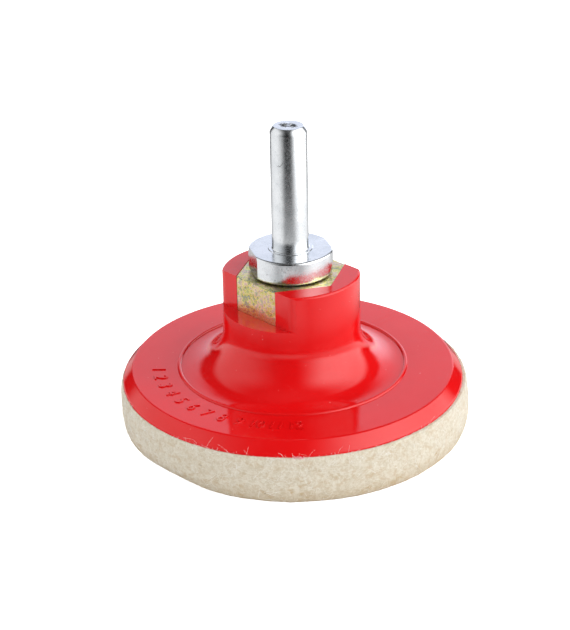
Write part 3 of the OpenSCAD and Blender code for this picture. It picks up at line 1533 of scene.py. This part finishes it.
@dataclass
class HookAndLoop:
    """The loop backing glued on the felt, and the hook sheet glued in the pad's recess."""

    loop_spacing: float = 1.5
    loop_shape: tuple[Pair, ...] = (
        (-0.22, 0), (-0.26, 0.16), (-0.12, 0.3), (0.12, 0.3), (0.26, 0.16), (0.22, 0)
    )
    loop_wire_r: float = 0.03
    loop_drift: float = 0.3
    loop_margin: float = 2.6
    hook_spacing: float = 1.55
    hook_shape: tuple[Pair, ...] = (
        (0, 0.42), (0, 0.18), (0.05, 0.06), (0.15, 0.02), (0.24, 0.08), (0.25, 0.17)
    )
    hook_wire_r: float = 0.045
    hook_margin: float = 0.6
    hook_reach: float = 0.38
    row_share: float = 0.87
    film_rim_w: float = 3.0
    loop_finish: Finish = PlainFinish(
        "loop_velour", (0.82, 0.80, 0.76), (0.70, 0.68, 0.63), 0.9, 1.6, 0.15, 0.4
    )
    hook_finish: Finish = PlainFinish(
        "hook_nylon", (0.035, 0.035, 0.04), (0.06, 0.06, 0.065), 0.45, 2.0, 0.03
    )
    glue_finish: Finish = PlainFinish(
        "clear_glue", (0.62, 0.58, 0.45), (0.52, 0.47, 0.34), 0.35, 1.2, 0.05
    )

    def film(self, name: str, node: str, rim: float) -> bpy.types.Object:
        """A thin disc where a packed disc lies, with softened edges.

        Args:
            name: The new object's name.
            node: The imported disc.
            rim: Size of the softened edge.

        Returns:
            The new object.
        """
        low, high = mm_box(node)
        radius = (high.x - low.x) / 2
        centre = ((low.x + high.x) / 2, (low.y + high.y) / 2)
        inner = radius - rim - self.film_rim_w
        outline = [
            (inner, low.z),
            (radius - rim, low.z),
            (radius, low.z + rim),
            (radius, high.z - rim),
            (radius - rim, high.z),
            (inner, high.z),
        ]
        return turned(name, outline, 160, centre)

    def lattice(self, radius: float, spacing: float) -> Iterator[Pair]:
        """Staggered places inside a circle.

        Args:
            radius: The circle's radius.
            spacing: Distance between neighbours.

        Yields:
            Each place.
        """
        rows = int(radius / (spacing * self.row_share)) + 1
        for row in range(-rows, rows + 1):
            y = row * spacing * self.row_share
            columns = int(radius / spacing) + 1
            for column in range(-columns, columns + 1):
                x = (column + 0.5 * (row % 2)) * spacing
                if math.hypot(x, y) < radius:
                    yield x, y

    def bent_wire(self, name: str, points: Sequence[Pair], radius: float) -> bpy.types.Object:
        """A short bent wire in the XZ plane.

        Args:
            name: The new object's name.
            points: Its points, as sideways place and height.
            radius: The wire's radius.

        Returns:
            The new object.
        """
        wire = add(name, bpy.ops.mesh.primitive_circle_add, vertices=4, radius=radius, fill_type="NGON")
        x, z = points[0]
        wire.location = (x, 0, z)
        fix_place(wire)
        heading = 0.0
        with editing(wire):
            bpy.ops.mesh.select_all(action="SELECT")
            for next_x, next_z in points[1:]:
                bpy.ops.mesh.extrude_region_move(
                    TRANSFORM_OT_translate={"value": (next_x - x, 0, next_z - z)}
                )
                turn = math.atan2(next_x - x, next_z - z)
                bpy.ops.transform.rotate(
                    value=turn - heading,
                    orient_axis="Y",
                    orient_type="GLOBAL",
                    center_override=(next_x, 0, next_z),
                )
                x, z, heading = next_x, next_z, turn
            bpy.ops.mesh.select_all(action="SELECT")
            bpy.ops.mesh.normals_make_consistent(inside=False)
        return wire

    def build(self) -> None:
        """Models and dresses the four layers."""
        draw = random.Random(5)
        glue = self.glue_finish.material()
        loops_material = self.loop_finish.material()
        hooks_material = self.hook_finish.material()
        low, high = mm_box("loop_backing")
        middle = ((low.x + high.x) / 2, (low.y + high.y) / 2)
        backing = self.film("loop_backing_cloth", "loop_backing", 0.1)
        hand_over(backing, Body.DISC, "loop_fabric", loops_material, "loop_backing")
        loop = self.bent_wire("loop", self.loop_shape, self.loop_wire_r)
        drift, places = self.loop_drift, []
        for x, y in self.lattice((high.x - low.x) / 2 - self.loop_margin, self.loop_spacing):
            x_loop = middle[0] + x + draw.uniform(-drift, drift)
            y_loop = middle[1] + y + draw.uniform(-drift, drift)
            turn = Matrix.Rotation(draw.uniform(0, math.pi), 4, "Z")
            places.append(Matrix.Translation((x_loop, y_loop, high.z - self.loop_wire_r)) @ turn)
        loops = scatter("loop_backing_loops", [loop], places, draw)
        hand_over(loops, Body.DISC, "loop_fabric", loops_material)
        low, high = mm_box("hook_sheet")
        sheet = self.film("hook_sheet_base", "hook_sheet", 0.06)
        for vert in sheet.data.vertices:
            if vert.co.z < (low.z + high.z) / 2:
                vert.co.z += self.hook_reach
        hand_over(sheet, Body.PAD, "hook_sheet", hooks_material, "hook_sheet")
        hook = self.bent_wire("hook", self.hook_shape, self.hook_wire_r)
        places = [
            Matrix.Translation((x, y, low.z)) @ Matrix.Rotation(draw.choice((0, math.pi)), 4, "Z")
            for x, y in self.lattice(high.x - self.hook_margin, self.hook_spacing)
        ]
        hooks = scatter("hook_sheet_hooks", [hook], places, draw)
        hand_over(hooks, Body.PAD, "hook_sheet", hooks_material)
        for name, node, body in (
            ("felt_glue", "felt_adhesive", Body.DISC),
            ("pad_glue", "pad_adhesive", Body.PAD),
        ):
            hand_over(self.film(name, node, 0.03), body, "glue_film", glue, node)


# ---------------------------------------------------------------------------------------------
# Studio
# ---------------------------------------------------------------------------------------------


@dataclass(frozen=True)
class Panel:
    """A soft-edged light panel of the surround, in degrees right of the camera and above the floor."""

    start: float
    end: float
    fade_in: float
    fade_out: float
    top: float
    fade_top: float
    power: float


@dataclass
class Studio:
    """Pale floor, a surround of two soft boxes and a pale backdrop, and the camera."""

    azimuth: float = 46.5
    elevation: float = 28.812
    distance: float = 369.155
    aim_right: float = -1.468
    aim_up: float = 24.975
    roll: float = -1.127
    lens: float = 92.94
    floor_r: float = 3000.0
    fill: float = 0.95
    air: float = 0.25
    air_left: float = 0.4
    panels: tuple[Panel, ...] = (
        Panel(-131, -50, 7, 32, 52, 17, 1.0),
        Panel(28, 124, 24, 7, 57, 18, 2.1),
        Panel(42, 96, 18, 20, 57, 18, 0.95),
    )
    backdrops: tuple[Panel, ...] = (
        Panel(146, 400, 4, 4, 39, 8, 0.95),
        Panel(-400, -154, 4, 4, 39, 8, 0.95),
        Panel(147, 174, 4, 6, 20, 8, 0.7),
    )
    backdrop_tint: Colour = (0.93, 0.98, 1.13)
    zenith: tuple[float, ...] = (55, 85, 0.02, 0.14)
    tone_reach: float = 200.0
    front_tones: tuple[Pair, ...] = (
        (0.30, 0.60), (0.415, 0.85), (0.47, 0.88), (0.527, 0.64), (0.585, 0.36), (0.645, 0.19), (0.75, 0.10)
    )
    front_left: Pair = (-38, -22)
    front_right: Pair = (8, 32)
    # Where the painted contact shadow in the floor's mirrored glow fades out, in millimetres, and how dark it
    # starts.
    contact_shadow: tuple[float, ...] = (60, 82, 0.15, 1)
    far_floor: Pair = (120, 240)
    paper: Colour = (0.93, 0.93, 0.93)
    side_tones: tuple[Pair, ...] = (
        (-180, 0.50), (-145, 0.55), (-118, 1.00), (-80, 1.05), (-54, 0.98), (-42, 0.74), (-32, 0.50),
        (26, 0.50), (38, 0.74), (48, 0.92), (62, 1.08), (118, 1.08), (145, 0.60), (180, 0.50)
    )

    def __post_init__(self) -> None:
        """Works out the camera's axes."""
        turn, rise = math.radians(self.azimuth), math.radians(self.elevation)
        self.right = Vector((math.cos(turn), math.sin(turn), 0))
        self.near = Vector((math.sin(turn), -math.cos(turn), 0))
        self.back = self.near * math.cos(rise) + Vector((0, 0, math.sin(rise)))

    def camera(self) -> None:
        """Puts the camera in place."""
        data = bpy.data.cameras.new("camera")
        data.lens = self.lens
        data.sensor_width = 36
        data.clip_start = 0.01
        data.clip_end = 20
        obj = bpy.data.objects.new("camera", data)
        bpy.context.scene.collection.objects.link(obj)
        place = self.back * self.distance
        aim = self.right * self.aim_right + Vector((0, 0, self.aim_up))
        obj.location = place * MM
        look = (aim - place).to_track_quat("-Z", "Y")
        obj.rotation_mode = "QUATERNION"
        obj.rotation_quaternion = look @ Quaternion((0, 0, 1), math.radians(self.roll))
        bpy.context.scene.camera = obj

    def along(self, graph: Graph, where: bpy.types.NodeSocket, axis: Vector) -> bpy.types.NodeSocket:
        """How far a place or a direction reaches along an axis.

        Args:
            graph: The graph of the world or the floor.
            where: The place or direction.
            axis: The axis.

        Returns:
            The dot product.
        """
        node = graph.node("ShaderNodeVectorMath", operation="DOT_PRODUCT")
        graph.feed(node.inputs[0], where)
        node.inputs[1].default_value = axis
        return node.outputs["Value"]

    def bearing(self, graph: Graph, where: bpy.types.NodeSocket) -> bpy.types.NodeSocket:
        """Degrees to the right of the camera.

        Args:
            graph: The graph of the world or the floor.
            where: The place or direction.

        Returns:
            The bearing.
        """
        across, ahead = self.along(graph, where, self.right), self.along(graph, where, self.near)
        return graph.times(graph.math("ARCTAN2", across, ahead), 180 / math.pi)

    def panel_light(self, graph: Graph, panels: Sequence[Panel], bearing: object, rise: object) -> object:
        """The light of some panels in one direction.

        Args:
            graph: The graph.
            panels: The panels.
            bearing: Degrees right of the camera.
            rise: Degrees above the floor.

        Returns:
            The summed light.
        """
        total: object = 0.0
        for panel in panels:
            left = graph.span(bearing, panel.start - panel.fade_in, panel.start + panel.fade_in)
            right = graph.span(bearing, panel.end - panel.fade_out, panel.end + panel.fade_out, 1, 0)
            roof = graph.span(rise, panel.top - panel.fade_top, panel.top + panel.fade_top, 1, 0)
            inside = graph.times(graph.times(left, right), roof)
            total = graph.math("MULTIPLY_ADD", inside, panel.power, total)
        return total

    def surround(self) -> None:
        """Lights the scene from all round, and shows the camera plain white."""
        world = bpy.data.worlds.new("surround")
        bpy.context.scene.world = world
        world.use_nodes = True
        graph = Graph(world.node_tree)
        where = graph.node("ShaderNodeTexCoord").outputs["Generated"]
        bearing = self.bearing(graph, where)
        height = self.along(graph, where, Vector((0, 0, 1)))
        rise = graph.times(graph.math("ARCSINE", height), 180 / math.pi)
        boxes = self.panel_light(graph, self.panels, bearing, rise)
        drops = self.panel_light(graph, self.backdrops, bearing, rise)
        light = graph.node("ShaderNodeVectorMath", operation="MULTIPLY_ADD")
        graph.feed(light.inputs[0], drops)
        light.inputs[1].default_value = self.backdrop_tint
        graph.feed(light.inputs[2], graph.math("ADD", boxes, graph.span(rise, *self.zenith)))
        seen = graph.node("ShaderNodeLightPath")
        matt = seen.outputs["Is Diffuse Ray"]
        across = self.along(graph, where, self.right)
        air = graph.span(across, -0.4, 0.4, self.air + self.air_left, self.air)
        softened = graph.node("ShaderNodeVectorMath", operation="MULTIPLY_ADD")
        graph.feed(softened.inputs[0], light.outputs[0])
        softened.inputs[1].default_value = (self.fill,) * 3
        graph.feed(softened.inputs[2], air)
        surround = graph.node("ShaderNodeBackground")
        graph.feed(surround.inputs["Color"], graph.blend(matt, light.outputs[0], softened.outputs[0]))
        white = graph.node("ShaderNodeBackground")
        white.inputs["Color"].default_value = (1, 1, 1, 1)
        mix = graph.node("ShaderNodeMixShader")
        graph.feed(mix.inputs[0], seen.outputs["Is Camera Ray"])
        graph.feed(mix.inputs[1], surround.outputs[0])
        graph.feed(mix.inputs[2], white.outputs[0])
        output = graph.node("ShaderNodeOutputWorld")
        graph.feed(output.inputs["Surface"], mix.outputs[0])

    def floor(self) -> None:
        """A plain pale floor: white to the camera; for mirrored rays it glows, with a painted contact shadow
        round the wheel and a dark stretch in front.
        """
        radius = self.floor_r * MM
        floor = add("floor", bpy.ops.mesh.primitive_circle_add, vertices=64, radius=radius, fill_type="NGON")
        material = bpy.data.materials.new("floor_paper")
        material.use_nodes = True
        graph = Graph(material.node_tree)
        where = graph.place()
        bearing = self.bearing(graph, where)
        length = graph.node("ShaderNodeVectorMath", operation="LENGTH")
        graph.feed(length.inputs[0], where)
        away = graph.math("DIVIDE", length.outputs["Value"], self.tone_reach)
        front = graph.ramp(away, [(n, (v, v, v)) for n, v in self.front_tones])
        turn = graph.math("MULTIPLY_ADD", bearing, 1 / 360, 0.5)
        side = graph.ramp(turn, [(n / 360 + 0.5, (v, v, v)) for n, v in self.side_tones])
        gap = graph.times(graph.span(bearing, *self.front_left), graph.span(bearing, *self.front_right, 1, 0))
        # Painted shadow: the mirrored glow is dark close round the wheel, standing in for its contact shadow.
        shade = graph.span(length.outputs["Value"], *self.contact_shadow)
        near_glow = graph.blend(shade, (0.0, 0.0, 0.0), graph.blend(gap, side, front))
        far = self.panel_light(graph, self.panels + self.backdrops, bearing, 0.0)
        glow = graph.blend(graph.span(length.outputs["Value"], *self.far_floor), near_glow, far)
        seen = graph.node("ShaderNodeLightPath")
        paper = graph.node("ShaderNodeBsdfDiffuse")
        graph.feed(paper.inputs["Color"], self.paper)
        white = graph.node("ShaderNodeEmission")
        graph.feed(white.inputs["Strength"], seen.outputs["Is Camera Ray"])
        both = graph.node("ShaderNodeAddShader")
        graph.feed(both.inputs[0], paper.outputs[0])
        graph.feed(both.inputs[1], white.outputs[0])
        mirrored = graph.node("ShaderNodeEmission")
        graph.feed(mirrored.inputs["Color"], glow)
        mix = graph.node("ShaderNodeMixShader")
        graph.feed(mix.inputs[0], seen.outputs["Is Glossy Ray"])
        graph.feed(mix.inputs[1], both.outputs[0])
        graph.feed(mix.inputs[2], mirrored.outputs[0])
        output = graph.node("ShaderNodeOutputMaterial")
        graph.feed(output.inputs["Surface"], mix.outputs[0])
        floor.data.materials.append(material)

    def build(self) -> None:
        """Sets up camera, surround and floor."""
        self.camera()
        self.surround()
        self.floor()
        bpy.context.scene.view_settings.view_transform = "Standard"


def main() -> None:
    """Builds the wheel and its studio."""
    logging.basicConfig(level=logging.INFO, format="%(name)s: %(message)s")
    Studio().build()
    BackingPad().build()
    HexInsert().build()
    Spindle().build()
    FeltDisc().build()
    HookAndLoop().build()


if __name__ == "__main__":
    main()
